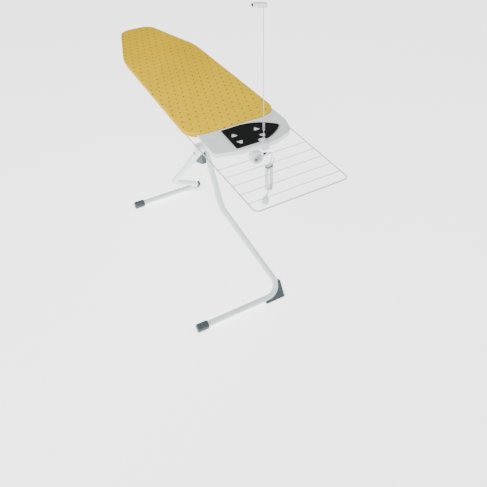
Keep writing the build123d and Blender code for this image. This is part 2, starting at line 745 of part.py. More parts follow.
pin_pitch = 19.0
with BuildPart() as socket_insert:
    add(rod(insert_back, axis_end - Vector(1, 0, 0), recess_diameter + 6 - 2 * fit_gap).part)
    add(rod(recess_start, axis_end, recess_diameter).part, mode=Mode.SUBTRACT)
    for side in (-1, 1):
        hole = recess_start + Vector(0, side * pin_pitch / 2, 0)
        add(rod(hole - Vector(5, 0, 0), hole, 5.2).part, mode=Mode.SUBTRACT)
save(socket_insert, "socket_insert")

with BuildPart() as earth_contacts:
    for side in (-1, 1):
        place = recess_start + Vector(socket_recess / 2 - 1, 0, side * (recess_diameter / 2 - 2))
        with BuildSketch(Plane(origin=place, z_dir=(1, 0, 0), x_dir=(0, 1, 0))):
            Rectangle(6, 3)
        extrude(amount=socket_recess / 2 - 1.5, both=True)
save(earth_contacts, "earth_contacts")

with BuildPart() as socket_bracket:
    with BuildSketch(Plane(origin=at(socket_back_x + 6, socket_y - 8, recess_floor - tray_wall))):
        Rectangle(18, 22)
    extrude(amount=-(recess_floor - tray_wall - socket_z))
    add(rod(axis_start - Vector(20, 0, 0), axis_end, socket_diameter + 2 * fit_gap).part, mode=Mode.SUBTRACT)
save(socket_bracket, "socket_bracket")

cord_x = 174.0
cord_exit = (54.0, socket_z - 4)
gland_start = at(cord_x, socket_y + socket_diameter / 2 - 4, socket_z - 4)
gland_end = at(cord_x, *cord_exit)
with BuildPart() as cord_gland:
    with BuildSketch(Plane(origin=gland_start, z_dir=(0, 1, 0))):
        Circle(7.5)
    with BuildSketch(Plane(origin=gland_end, z_dir=(0, 1, 0))):
        Circle(4.6)
    loft()
    add(rod(axis_start, axis_end, socket_diameter + 2 * fit_gap).part, mode=Mode.SUBTRACT)
save(cord_gland, "cord_gland")

# ================================================================== cord, hank and plug


def cord_tube(name, points, radii):
    """A stretch of cord: straight runs joined by tangent arcs."""
    with BuildPart() as cord:
        with BuildLine() as path:
            FilletPolyline(*points, radius=radii)
        with BuildSketch(Plane(origin=path.line @ 0, z_dir=path.line % 0)):
            Circle(cord_diameter / 2)
        sweep()
    length = path.wire().length
    expected = pi * cord_diameter ** 2 / 4 * length
    print(name, "length", round(length, 1), "volume error", round(cord.part.volume / expected - 1, 4))
    save(cord, name)


def arc_radii(points):
    """The largest radius at each corner of a cord's route."""
    radii = []
    for before, corner, after in zip(points, points[1:], points[2:]):
        turn = radians((corner - before).get_angle(after - corner))
        run = min((corner - before).length, (after - corner).length)
        radii.append(0.45 * run / tan(turn / 2))
    print("radii", [round(radius, 1) for radius in radii])
    return radii


hank_top = socket_z - 68
hank_bottom = hank_top - 144
lead_route = [at(cord_x, y, z) for y, z in (
    cord_exit, (69, socket_z - 4), (84, socket_z - 15), (88, socket_z - 32), (83, hank_top + 19), (83, hank_top),
)]
cord_tube("cord_lead", lead_route, arc_radii(lead_route))

hank_y = 71.0
hank_width = 33.0
hank_depth = 21.0
with BuildPart() as cord_hank:
    with BuildSketch(Plane(origin=at(cord_x, hank_y, hank_bottom))):
        RectangleRounded(hank_depth, hank_width, 8)
    extrude(amount=hank_top - hank_bottom)
save(cord_hank, "cord_hank")

tie_z = hank_top - 12
with BuildPart() as cord_tie:
    with BuildSketch(Plane(origin=at(cord_x, hank_y, tie_z))):
        RectangleRounded(hank_depth + 3, hank_width + 3, 9)
        RectangleRounded(hank_depth + 0.2, hank_width + 0.2, 8.1, mode=Mode.SUBTRACT)
    extrude(amount=5)
    twist = at(cord_x + hank_depth / 2 + 2.5, hank_y + 2, tie_z + 2)
    add(rod(twist, twist + Vector(6, 16, 48), 2.4).part)
save(cord_tie, "cord_tie")

tail_route = [at(cord_x, y, z) for y, z in (
    (63, hank_bottom), (63, hank_bottom - 8), (61, hank_bottom - 16),
)]
cord_tube("cord_tail", tail_route, arc_radii(tail_route))

plug_start = tail_route[-1]
plug_axis = unit(tail_route[-2], tail_route[-1])
plug_relief_length = 18.0
plug_length = 30.0
plug_radius = 16.0
with BuildPart() as plug_relief:
    with BuildSketch(Plane(origin=plug_start, z_dir=plug_axis)):
        Circle(4.4)
    with BuildSketch(Plane(origin=plug_start + plug_axis * plug_relief_length, z_dir=plug_axis)):
        Circle(6.5)
    loft()
save(plug_relief, "plug_relief")
body_start = plug_start + plug_axis * plug_relief_length
with BuildPart() as plug_body:
    with BuildSketch(Plane(origin=body_start, z_dir=plug_axis)):
        Circle(11)
    with BuildSketch(Plane(origin=body_start + plug_axis * plug_length * 0.55, z_dir=plug_axis)):
        Circle(plug_radius)
    loft()
    with BuildSketch(Plane(origin=body_start + plug_axis * plug_length * 0.55, z_dir=plug_axis)):
        Circle(plug_radius)
    extrude(amount=plug_length * 0.45)
save(plug_body, "plug_body")
with BuildPart() as plug_pins:
    side_dir = plug_axis.cross(Vector(1, 0, 0))
    for side in (-1, 1):
        foot = body_start + plug_axis * plug_length + side_dir * side * pin_pitch / 2
        add(rod(foot, foot + plug_axis * 17, 4.8).part)
save(plug_pins, "plug_pins")

# ================================================================== cable rod
clamp_top = rest_top + 5
jaw = rest_top + layer_gap
with BuildPart() as rod_clamp:
    with BuildSketch(Plane(origin=at(0, rod_y, 0), x_dir=(1, 0, 0), z_dir=(0, -1, 0))):
        with BuildLine():
            Polyline((tray_front - 36, jaw), (tray_front - 36, clamp_top),
                     (tray_front + 9, clamp_top), (tray_front + 9, tray_bottom - 8),
                     (tray_front - 24, tray_bottom - 8), (tray_front - 24, tray_bottom - layer_gap),
                     (tray_front + 1, tray_bottom - layer_gap), (tray_front + 1, jaw),
                     close=True)
        make_face()
    extrude(amount=15, both=True)
    fillet(rod_clamp.edges().filter_by(Axis.Y).sort_by(Axis.Z)[-2:], 2.5)
    foot = at(rod_x, rod_y, clamp_top)
    add(rod(foot, foot + Vector(0, 0, 10), 13).part)
    add(rod(foot + Vector(0, 0, 2), foot + Vector(0, 0, 10), rod_diameter + 2.4).part, mode=Mode.SUBTRACT)
save(rod_clamp, "rod_clamp")

rod_foot = clamp_top + 3
coil_start = clamp_top + 56
coil_pitch = 3.0
coil_end = coil_start + rod_coil_turns * coil_pitch
with BuildPart() as cable_rod:
    add(rod(at(rod_x, rod_y, rod_foot), at(rod_x, rod_y, coil_start - 2), rod_diameter).part)
    add(rod(at(rod_x, rod_y, coil_end + 2), at(rod_x, rod_y, rod_top_z), rod_diameter).part)
    with BuildLine() as helix:
        Helix(pitch=coil_pitch, height=coil_end - coil_start, radius=(rod_coil_diameter - rod_coil_wire) / 2,
              center=at(rod_x, rod_y, coil_start))
    with BuildSketch(Plane(origin=helix.line @ 0, z_dir=helix.line % 0)):
        Circle(rod_coil_wire / 2)
    sweep(path=helix.line, is_frenet=True)
    for z in (coil_start - 2, coil_end + 2):
        add(rod(at(rod_x, rod_y, z - 1.6), at(rod_x, rod_y, z + 1.6), rod_coil_diameter).part)
save(cable_rod, "cable_rod")

clip_left = -1.0
clip_right = 52.0
clip_height = 18.0
clip_turn = -30.0             # the clip's turn about the rod, degrees
clip_axis = Axis(at(rod_x, rod_y, 0), (0, 0, 1))
with BuildPart() as clip_body:
    with BuildSketch(Plane(origin=at(rod_x, (clip_left + clip_right) / 2, rod_top_z - 8))):
        RectangleRounded(15, clip_right - clip_left, 5)
    extrude(amount=clip_height)
    fillet(clip_body.faces().sort_by(Axis.Z)[-1].edges(), 3)
    add(rod(at(rod_x, rod_y, rod_top_z - 10), at(rod_x, rod_y, rod_top_z + 0.3), rod_diameter + 2 * running_gap).part,
        mode=Mode.SUBTRACT)
    hook_place = at(rod_x, clip_left + 13, rod_top_z - 4)
    side = Vector(20, 0, 0)
    add(rod(hook_place - side, hook_place + side, 10).part, mode=Mode.SUBTRACT)
    with BuildSketch(Plane(origin=hook_place - Vector(0, 0, 5), z_dir=(0, 0, 1))):
        Rectangle(20, 6)
    extrude(amount=3, both=True, mode=Mode.SUBTRACT)
with BuildPart() as rod_clip:
    add(clip_body.part.rotate(clip_axis, clip_turn))
save(rod_clip, "rod_clip")

hook_length = 7.0
hook_start = at(rod_x, clip_left, rod_top_z + 1)
with BuildPart() as hook_body:
    add(rod(hook_start - Vector(0, hook_length, 0), hook_start, 13.0).part)
    fillet(hook_body.faces().sort_by(Axis.Y)[0].edges(), 4)
with BuildPart() as clip_hook:
    add(hook_body.part.rotate(clip_axis, clip_turn))
save(clip_hook, "clip_hook")
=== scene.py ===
import math

import bpy
from bpy.props import FloatProperty, FloatVectorProperty, IntProperty, PointerProperty
from bpy.types import Operator, Panel, PropertyGroup
from mathutils import Matrix, Vector


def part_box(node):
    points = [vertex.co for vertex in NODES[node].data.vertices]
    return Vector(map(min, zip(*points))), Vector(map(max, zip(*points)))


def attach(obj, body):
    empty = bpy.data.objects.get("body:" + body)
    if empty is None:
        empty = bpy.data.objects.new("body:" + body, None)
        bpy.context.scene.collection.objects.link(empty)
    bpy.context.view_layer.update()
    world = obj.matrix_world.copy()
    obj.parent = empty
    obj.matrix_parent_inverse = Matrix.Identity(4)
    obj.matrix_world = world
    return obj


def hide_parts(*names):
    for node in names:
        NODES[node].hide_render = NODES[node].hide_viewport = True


bl_info = {
    "name": "Folding ironing board",
    "version": (1, 0, 0),
    "blender": (4, 5, 0),
    "location": "3D View > Sidebar > Ironing board",
    "description": "Detailed cover, pad and cord, finishes and studio for a folding ironing board",
    "category": "Object",
}

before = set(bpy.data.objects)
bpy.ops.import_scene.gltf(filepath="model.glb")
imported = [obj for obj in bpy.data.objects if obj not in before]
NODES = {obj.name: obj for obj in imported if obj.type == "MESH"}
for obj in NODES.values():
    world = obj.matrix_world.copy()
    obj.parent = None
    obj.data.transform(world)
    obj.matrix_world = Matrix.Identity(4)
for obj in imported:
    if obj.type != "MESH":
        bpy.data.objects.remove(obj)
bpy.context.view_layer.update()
COVER_LOW, COVER_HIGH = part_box("cover")
TAIL_X = COVER_HIGH[0]
CENTRE_Y = (COVER_LOW[1] + COVER_HIGH[1]) / 2
BOARD_TOP = COVER_HIGH[2]
MM = 0.001
WHITE = (1, 1, 1, 1)

# The board's plan on one side of its centre line: distance before the tail edge, half width and corner
# radius, in millimetres.
BOARD_CORNERS = ((-1240, 88, 75), (-860, 208, 350), (0, 226.5, 90))

# The camera: lens and sensor in millimetres, shift as a share of the sensor.
LENS = 46.5
SENSOR = 36
SHIFT = (-0.042, -0.210)
CAMERA_PLACE = (2111.6, -1089.1, 2397.8)
CAMERA_BACK = (0.7238, -0.4237, 0.5446)
CAMERA_RIGHT = (0.505, 0.863, 0)
CLIP_END = 100

# The hem's slow pucker: its length along the edge, and its height beside that of the quick one.
SLOW_WAVELENGTH = 0.047
SLOW_SHARE = 0.6

FLOOR_REACH = 30
WORLD_STRENGTH = 0.45
LIGHTS_AIM = (-350, 0, 700)

# The hank's middle, from the tail edge and the centre line, and the height half way up its straight runs.
HANK_X, HANK_Y = 174.0, 71.0
RUN_MIDDLE = 730


def at(x, y, z):
    """A place from the tail edge, the centre line and the floor, in millimetres."""
    return Vector((TAIL_X + x * MM, CENTRE_Y + y * MM, z * MM))


def srgb(code):
    """A hex colour as the linear values that a shader takes."""
    parts = [int(code[i:i + 2], 16) / 255 for i in (1, 3, 5)]
    return [c / 12.92 if c <= 0.04045 else ((c + 0.055) / 1.055) ** 2.4 for c in parts]


# ---------------------------------------------------------------- settings


def colour_setting(name, description, code):
    return FloatVectorProperty(name=name, description=description, subtype="COLOR", size=3,
                               min=0, max=1, default=srgb(code))


def length_setting(name, description, value):
    return FloatProperty(name=name, description=description, subtype="DISTANCE", unit="LENGTH",
                         min=0, default=value)


class CoverSettings(PropertyGroup):
    """Sizes and colours of the cover and the pad."""

    colour: colour_setting("Cover", "Colour of the cotton", "#FFD200")
    # Darker yellow below the cover's top edge: partly the bound edge, partly painted shade on the cover's
    # side.
    edge_and_shade_colour: colour_setting("Cover edge", "Colour of the bound edge", "#D9A800")
    dot_colour: colour_setting("Dots", "Colour of the printed dots", "#3A3303")
    pad_colour: colour_setting("Pad", "Colour of the foam pad", "#E6E2D4")
    dot_size: length_setting("Dot", "Diameter of a printed dot", 0.0072)
    dot_pitch: length_setting("Dot pitch", "Distance between dots along a row", 0.0395)
    dot_turn: FloatProperty(name="Row turn", description="Turn of the rows of dots from the cross direction",
                            subtype="ANGLE", default=math.radians(10))
    edge_round: length_setting("Edge round", "Radius of the cover's top edge", 0.006)


class CordSettings(PropertyGroup):
    """Sizes and colours of the mains cord and its plug."""

    colour: colour_setting("Cord", "Colour of the cord's sheath", "#E2E6E5")
    tie_colour: colour_setting("Tie", "Colour of the wire tie", "#1B1C1E")
    diameter: length_setting("Cord diameter", "Diameter of the cord", 0.0065)
    loops: IntProperty(name="Outer loops", description="Whole loops on the hank's outside",
                       default=3, min=1, max=3)


class FinishSettings(PropertyGroup):
    """Colours of the steel and plastic pieces."""

    frame_colour: colour_setting("Frame", "Powder coat of the legs and the frame", "#E9F3F3")
    wire_colour: colour_setting("Rack", "Coating of the wire rack", "#C4CCCD")
    slate_colour: colour_setting("Caps", "Caps, glides and the lever's grip", "#3C4A4D")
    tray_colour: colour_setting("Tray", "Iron tray", "#F8FAFB")
    rest_colour: colour_setting("Iron rest", "Iron rest", "#08090A")
    white_colour: colour_setting("Fittings", "Socket, plug, guides, clamp and clip", "#DFE8E9")
    dark_colour: colour_setting("Socket inside", "Cord gland", "#1E2426")
    steel_colour: colour_setting("Steel", "Bolts, screws and the cable rod", "#A9ADAF")
    nylon_colour: colour_setting("Bushes", "Nylon bushes", "#DEDCD2")


class StageSettings(PropertyGroup):
    """The floor and the light."""

    floor_colour: colour_setting("Floor", "Colour of the floor", "#FAFAFA")
    key_power: FloatProperty(name="Key light", description="Power of the key light", unit="POWER", default=95)
    fill_power: FloatProperty(name="Fill light", description="Power of the fill light", unit="POWER",
                              default=18)


# ---------------------------------------------------------------- node helpers


def add_node(tree, kind, inputs=(), **settings):
    """A node with its settings, and its inputs given as values or as sockets to link."""
    node = tree.nodes.new(kind)
    for name, value in settings.items():
        setattr(node, name, value)
    for name, value in dict(inputs).items():
        if isinstance(value, bpy.types.NodeSocket):
            tree.links.new(value, node.inputs[name])
        else:
            node.inputs[name].default_value = value
    return node


def math_node(tree, operation, *values):
    return add_node(tree, "ShaderNodeMath", enumerate(values), operation=operation).outputs[0]


def start_material(name):
    """An empty material with its tree, its shader and the object's coordinates in metres."""
    material = bpy.data.materials.new(name)
    material.use_nodes = True
    tree = material.node_tree
    shader = tree.nodes["Principled BSDF"]
    place = add_node(tree, "ShaderNodeTexCoord").outputs["Object"]
    return material, tree, shader, place


def surface(name, colour, roughness, grain, height, spread=0.06, stretch=(1, 1, 1), **shader_values):
    """A material with a fine grain in its relief and a broad, faint change of colour and gloss.

    grain and height are the relief's real width and depth in metres.
    """
    material, tree, shader, place = start_material(name)
    stretched = add_node(tree, "ShaderNodeMapping", {"Vector": place, "Scale": stretch}).outputs[0]
    fine = add_node(tree, "ShaderNodeTexNoise", {"Vector": stretched, "Scale": 1 / grain, "Detail": 3.0})
    broad = add_node(tree, "ShaderNodeTexNoise", {"Vector": place, "Scale": 9.0, "Detail": 4.0})
    worn = add_node(tree, "ShaderNodeMapRange", {"Value": broad.outputs[0], "From Min": 0.3, "From Max": 0.7,
                                                "To Min": 1 - spread, "To Max": 1 + spread}).outputs[0]
    tint = add_node(tree, "ShaderNodeVectorMath", {0: tuple(colour[:3]), "Scale": worn}, operation="SCALE")
    tree.links.new(tint.outputs[0], shader.inputs["Base Color"])
    gloss = math_node(tree, "MULTIPLY", worn, roughness)
    tree.links.new(gloss, shader.inputs["Roughness"])
    bump = add_node(tree, "ShaderNodeBump", {"Height": fine.outputs[0], "Distance": height, "Strength": 1.0})
    tree.links.new(bump.outputs[0], shader.inputs["Normal"])
    for socket, value in shader_values.items():
        shader.inputs[socket.replace("_", " ")].default_value = value
    return material


def dotted_cotton(settings):
    """Printed cotton: a plain weave that catches grazing light, with matt round dots in slanted rows."""
    material, tree, shader, place = start_material("dotted_cotton")
    turn = settings.dot_turn
    pitch = settings.dot_pitch
    row = Vector((-math.sin(turn), math.cos(turn), 0)) * pitch
    lean = math.radians(63)
    column = Vector((-math.sin(turn + lean), math.cos(turn + lean), 0)) * pitch * 1.09
    area = row.x * column.y - row.y * column.x
    duals = (Vector((column.y, -column.x, 0)) / area, Vector((-row.y, row.x, 0)) / area)
    wobble = add_node(tree, "ShaderNodeTexNoise", {"Vector": place, "Scale": 700.0, "Detail": 2.0})
    shifted = add_node(tree, "ShaderNodeVectorMath",
                       {0: wobble.outputs["Color"], 1: (0.0007, 0.0007, 0), 2: place},
                       operation="MULTIPLY_ADD").outputs[0]
    steps = []
    for dual in duals:
        count = add_node(tree, "ShaderNodeVectorMath", {0: shifted, 1: dual},
                         operation="DOT_PRODUCT").outputs["Value"]
        share = math_node(tree, "FRACT", math_node(tree, "ADD", count, 0.5))
        steps.append(math_node(tree, "SUBTRACT", share, 0.5))
    across = add_node(tree, "ShaderNodeVectorMath", {0: row, "Scale": steps[0]}, operation="SCALE").outputs[0]
    down = add_node(tree, "ShaderNodeVectorMath", {0: column, "Scale": steps[1]},
                    operation="SCALE").outputs[0]
    offset = add_node(tree, "ShaderNodeVectorMath", {0: across, 1: down}, operation="ADD").outputs[0]
    reach = add_node(tree, "ShaderNodeVectorMath", {0: offset}, operation="LENGTH").outputs["Value"]
    radius = settings.dot_size / 2
    printed = add_node(tree, "ShaderNodeMapRange",
                       {"Value": reach, "From Min": radius - 0.0002, "From Max": radius + 0.0002,
                        "To Min": 1.0, "To Max": 0.0}).outputs[0]
    height = add_node(tree, "ShaderNodeSeparateXYZ", {0: place}).outputs[2]
    # Painted shade with the bound edge: below the top edge the cloth takes the darker edge colour and no dots
    # are printed there. The darker colour stands partly for the bound edge and partly for shade on the
    # cover's side.
    edge = add_node(tree, "ShaderNodeMapRange",
                    {"Value": height, "From Min": BOARD_TOP - 0.0045, "From Max": BOARD_TOP - 0.003,
                     "To Min": 1.0, "To Max": 0.0}).outputs[0]
    faded = add_node(tree, "ShaderNodeTexNoise", {"Vector": place, "Scale": 4.0, "Detail": 3.0}).outputs[0]
    cloth = add_node(tree, "ShaderNodeMix",
                     {"Factor": edge, 6: (*settings.colour, 1), 7: (*settings.edge_and_shade_colour, 1)},
                     data_type="RGBA").outputs[2]
    shown = math_node(tree, "MULTIPLY", printed, math_node(tree, "SUBTRACT", 1.0, edge))
    print_mix = add_node(tree, "ShaderNodeMix", {"Factor": shown, 6: cloth, 7: (*settings.dot_colour, 1)},
                         data_type="RGBA").outputs[2]
    shade = add_node(tree, "ShaderNodeMapRange", {"Value": faded, "From Min": 0.3, "From Max": 0.7,
                                                 "To Min": 0.94, "To Max": 1.05}).outputs[0]
    tint = add_node(tree, "ShaderNodeVectorMath", {0: print_mix, "Scale": shade}, operation="SCALE")
    tree.links.new(tint.outputs[0], shader.inputs["Base Color"])
    threads = [add_node(tree, "ShaderNodeTexWave", {"Vector": place, "Scale": 320.0, "Distortion": 0.6},
                        bands_direction=axis).outputs[1] for axis in ("X", "Y")]
    weave = math_node(tree, "MULTIPLY", *threads)
    folds = add_node(tree, "ShaderNodeTexNoise", {"Vector": place, "Scale": 7.0, "Detail": 2.0}).outputs[0]
    soft = add_node(tree, "ShaderNodeBump", {"Height": folds, "Distance": 0.004, "Strength": 0.35}).outputs[0]
    bump = add_node(tree, "ShaderNodeBump", {"Height": weave, "Distance": 0.00012, "Normal": soft})
    tree.links.new(bump.outputs[0], shader.inputs["Normal"])
    shader.inputs["Roughness"].default_value = 0.82
    shader.inputs["Specular IOR Level"].default_value = 0.12
    return material


# ---------------------------------------------------------------- mesh helpers


def rounded_outline(corners, radii, step=0.006):
    """A closed outline through rounded corners, as evenly spaced points in order."""
    points = []
    count = len(corners)
    for i, (corner, radius) in enumerate(zip(corners, radii)):
        before = (corners[i - 1] - corner).normalized()
        after = (corners[(i + 1) % count] - corner).normalized()
        half = before.angle(after) / 2
        centre = corner + (before + after).normalized() * radius / math.sin(half)
        start = corner + before * radius / math.tan(half) - centre
        end = corner + after * radius / math.tan(half) - centre
        sweep = start.angle_signed(end)
        parts = max(4, int(abs(sweep) * radius / step))
        for k in range(parts + 1):
            points.append(centre + Matrix.Rotation(-sweep * k / parts, 2) @ start)
    even = []
    for i, point in enumerate(points):
        following = points[(i + 1) % len(points)]
        pieces = max(1, int((following - point).length / step))
        even += [point.lerp(following, k / pieces) for k in range(pieces)]
    return even


def board_outline():
    """The board's plan outline, with its centre line on y = 0."""
    half = [Vector((x * MM, y * MM)) for x, y, radius in BOARD_CORNERS]
    other = [Vector((p.x, -p.y)) for p in reversed(half)]
    radii = [radius * MM for x, y, radius in BOARD_CORNERS]
    return rounded_outline(half + other, radii + radii[::-1])


def inward(outline):
    """For each point of an outline, the unit direction into it."""
    directions = []
    for i, point in enumerate(outline):
        along = (outline[(i + 1) % len(outline)] - outline[i - 1]).normalized()
        side = Vector((-along.y, along.x))
        directions.append(side if side.dot(Vector((-0.5, 0)) - point) > 0 else -side)
    return directions


def ringed_mesh(name, rings, closed_bottom):
    """A skin through rings of equal length, closed at its last ring, and at its first if asked."""
    size = len(rings[0])
    faces = [tuple(range((len(rings) - 1) * size, len(rings) * size))]
    for r in range(len(rings) - 1):
        for k in range(size):
            n = (k + 1) % size
            faces.append((r * size + k, r * size + n, (r + 1) * size + n, (r + 1) * size + k))
    if closed_bottom:
        faces.append(tuple(reversed(range(size))))
    mesh = bpy.data.meshes.new(name)
    mesh.from_pydata([tuple(p) for ring in rings for p in ring], [], faces)
    mesh.update()
    piece = bpy.data.objects.new(name, mesh)
    bpy.context.scene.collection.objects.link(piece)
    bpy.context.view_layer.objects.active = piece
    for polygon in mesh.polygons:
        polygon.use_smooth = True
    return piece


def finish_nodes(names, material, bevel=0.0006):
    """Gives CAD nodes a material and a small rounding that catches light along their edges."""
    for name in names:
        node = NODES[name]
        node.data.materials.clear()
        node.data.materials.append(material)
        for polygon in node.data.polygons:
            polygon.use_smooth = True
        if bevel:
            rounding = node.modifiers.new("edge_round", "BEVEL")
            rounding.width = bevel
            rounding.segments = 2
            rounding.limit_method = "ANGLE"
            rounding.angle_limit = math.radians(40)
            rounding.harden_normals = True
        else:
            split = node.modifiers.new("sharp_edges", "EDGE_SPLIT")
            split.split_angle = math.radians(32)


# ---------------------------------------------------------------- operators


class IRONING_OT_stage(Operator):
    """Make the camera, the floor and the studio light"""

    bl_idname = "ironing.stage"
    bl_label = "Stage"

    def execute(self, context):
        settings = context.scene.ironing_stage
        data = bpy.data.cameras.new("camera")
        data.lens = LENS
        data.sensor_width = SENSOR
        data.shift_x, data.shift_y = SHIFT
        data.clip_end = CLIP_END
        camera = bpy.data.objects.new("camera", data)
        context.scene.collection.objects.link(camera)
        context.scene.camera = camera
        back = Vector(CAMERA_BACK).normalized()
        right = Vector(CAMERA_RIGHT).normalized()
        rotation = Matrix((right, back.cross(right), back)).transposed().to_4x4()
        camera.matrix_world = Matrix.Translation(at(*CAMERA_PLACE)) @ rotation

        floor_mesh = bpy.data.meshes.new("floor")
        reach = FLOOR_REACH
        corners = [(-reach, -reach, 0), (reach, -reach, 0), (reach, reach, 0), (-reach, reach, 0)]
        floor_mesh.from_pydata(corners, [], [(0, 1, 2, 3)])
        floor = bpy.data.objects.new("floor", floor_mesh)
        context.scene.collection.objects.link(floor)
        # A painted studio floor: even and matt, with a soft sheen and a faint glow that keeps it near white.
        floor_mesh.materials.append(
            surface("floor_paint", settings.floor_colour, 0.75, 0.004, 0.00002, spread=0.01,
                    Emission_Color=WHITE, Emission_Strength=2.5))

        world = bpy.data.worlds.new("studio")
        world.use_nodes = True
        background = world.node_tree.nodes["Background"]
        background.inputs[0].default_value = WHITE
        background.inputs[1].default_value = WORLD_STRENGTH
        context.scene.world = world
        lights = (("key_light", at(600, -1900, 3000), settings.key_power, 2.2),
                  ("fill_light", at(900, 2400, 2600), settings.fill_power, 2.5))
        for name, place, power, size in lights:
            lamp = bpy.data.lights.new(name, "AREA")
            lamp.energy = power
            lamp.size = size
            light = bpy.data.objects.new(name, lamp)
            context.scene.collection.objects.link(light)
            light.location = place
            light.rotation_mode = "QUATERNION"
            light.rotation_quaternion = (at(*LIGHTS_AIM) - place).to_track_quat("-Z", "Y")
        return {"FINISHED"}


class IRONING_OT_cover(Operator):
    """Make the padded top: the dotted cover with its gathered hem, and the pad"""

    bl_idname = "ironing.cover"
    bl_label = "Cover and pad"

    def ring(self, inset, z, wave=0.0, wavelength=0.019):
        """One ring of the skin, pulled in by inset, with an even pucker of the given height."""
        points = []
        travelled = 0.0
        for i, (point, direction) in enumerate(zip(self.outline, self.directions)):
            travelled += (point - self.outline[i - 1]).length
            ripple = math.sin(travelled / wavelength * math.tau)
            ripple += SLOW_SHARE * math.sin(travelled / SLOW_WAVELENGTH * math.tau)
            moved = point + direction * (inset - wave * ripple * 0.5)
            points.append((TAIL_X + moved.x, CENTRE_Y + moved.y, z + wave * ripple * 0.4))
        return points

    def execute(self, context):
        settings = context.scene.ironing_cover
        self.outline = board_outline()
        self.directions = inward(self.outline)
        top = BOARD_TOP
        bottom = COVER_LOW[2]
        r = settings.edge_round
        hem = 0.022
        # Each ring's inset, rise above the cover's bottom and pucker.
        profile = ((hem, 0.0030, 0.0020), (hem, 0.0012, 0.0020), (hem - 0.003, 0, 0.0018),
                   (0.012, 0.0004, 0.0012), (0.0078, 0.0022, 0.0010), (0.0050, 0.0055, 0.0008),
                   (0.0036, 0.0100, 0.0006), (0.0022, 0.0150, 0.0004), (0.0008, 0.0190, 0.0002))
        rings = [self.ring(inset, bottom + rise, wave) for inset, rise, wave in profile]
        rings.append(self.ring(0, top - r, 0.0001))
        for k in range(1, 7):
            angle = math.radians(15 * k)
            rings.append(self.ring(r * (1 - math.cos(angle)), top - r + r * math.sin(angle) - 0.0002))
        rings += [self.ring(r + 0.004, top - 0.0001), self.ring(r + 0.03, top)]
        cover = ringed_mesh("cover_cloth", rings, closed_bottom=False)
        thickness = cover.modifiers.new("cloth", "SOLIDIFY")
        thickness.thickness = 0.0009
        thickness.offset = -1
        cover.data.materials.append(dotted_cotton(settings))
        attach(cover, "board")
        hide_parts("cover")

        pad_low, pad_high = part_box("foam_pad")
        inset = 0.0024
        pad_rings = [self.ring(inset + 0.002, pad_low[2]), self.ring(inset, pad_low[2] + 0.0015),
                     self.ring(inset, pad_high[2] - 0.003), self.ring(inset + 0.0012, pad_high[2] - 0.001),
                     self.ring(inset + 0.005, pad_high[2] - 0.0002),
                     self.ring(inset + 0.03, pad_high[2] - 0.0002)]
        pad = ringed_mesh("pad_foam", pad_rings, closed_bottom=True)
        # Foam: open cells make it dull and slightly rough at every angle.
        pad.data.materials.append(surface("pad_felt", settings.pad_colour, 0.95, 0.0011, 0.0003))
        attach(pad, "board")
        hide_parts("foam_pad")
        return {"FINISHED"}


class IRONING_OT_cord(Operator):
    """Make the mains cord in its hank, with the plug and the tie"""

    bl_idname = "ironing.cord"
    bl_label = "Cord and plug"

    def hank(self, loops):
        """The cord's route: x and y from the hank's middle and z from the floor, in millimetres."""
        wide, narrow, layer = 13.2, 6.4, 7.2
        high, low = 808.5, 674.0
        route = []
        for number in range(loops):
            x = (number - 1) * layer
            drop = (0, 5, 2)[number]
            following = x + layer if number < loops - 1 else x
            outer_side = [high - 16, RUN_MIDDLE, low + 15 - drop / 2, low + drop / 2]
            route += [(x, wide, z) for z in outer_side]
            route += [(x, -wide, z) for z in reversed(outer_side)]
            if number < loops - 1:
                route += [(x + 1, -wide, high), (following - 1, wide, high)]
        route[-1] = (layer, -wide, high - 34)
        route += [(layer, -narrow, high - 24), (layer, -narrow, high - 14), (0, narrow, high - 14),
                  (0, narrow, high - 26), (0, narrow, RUN_MIDDLE), (0, narrow, low + 16),
                  (0, narrow, low + 9), (0, -narrow, low + 9), (0, -narrow, low + 16),
                  (0, -narrow, RUN_MIDDLE), (0, -narrow, high - 14), (0, -narrow, high - 7),
                  (layer, narrow, high - 7), (layer, narrow, high - 14), (layer, narrow, RUN_MIDDLE),
                  (layer, narrow - 4, low + 30), (layer + 4, narrow - 10, low + 16), (layer + 7, -8, low + 5)]
        return route

    def execute(self, context):
        settings = context.scene.ironing_cord
        lead = [(0, 54, 876), (0, 69, 876), (0, 84, 865), (-2, 88, 848), (-6, 84, 831), (-7.2, 84.2, 812)]
        tail = [(12, 63, 670), (4, 63, 661), (0, 62, 657), (0, 61, 652)]
        places = [at(HANK_X + x, y, z) for x, y, z in lead]
        places += [at(HANK_X + x, HANK_Y + y, z) for x, y, z in self.hank(settings.loops)]
        places += [at(HANK_X + x, y, z) for x, y, z in tail]
        data = bpy.data.curves.new("mains_cord", "CURVE")
        data.dimensions = "3D"
        data.bevel_depth = settings.diameter / 2
        data.bevel_resolution = 5
        data.use_fill_caps = True
        spline = data.splines.new("NURBS")
        spline.points.add(len(places) - 1)
        for point, place in zip(spline.points, places):
            point.co = (*place, 1)
        spline.order_u = 3
        spline.use_endpoint_u = True
        spline.resolution_u = 10
        cord = bpy.data.objects.new("mains_cord", data)
        context.scene.collection.objects.link(cord)
        # Soft vinyl: an even skin with a broad, soft highlight along each run.
        data.materials.append(surface("cord_vinyl", settings.colour, 0.42, 0.0008, 0.00002, Coat_Weight=0.1))
        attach(cord, "board")
        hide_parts("cord_lead", "cord_hank", "cord_tail")
        # Coated twist wire: near-black, satin, with a faint sparkle of grain.
        black = surface("tie_plastic", settings.tie_colour, 0.45, 0.0005, 0.00003)
        finish_nodes(["cord_tie", "clip_hook"], black)
        # Nickel-plated pins: bright, with fine marks from plugging in.
        pins = surface("pin_metal", srgb("#C9C7BE"), 0.22, 0.0004, 0.00001, Metallic=1.0)
        finish_nodes(["plug_pins", "earth_contacts"], pins, bevel=0.0003)
        return {"FINISHED"}


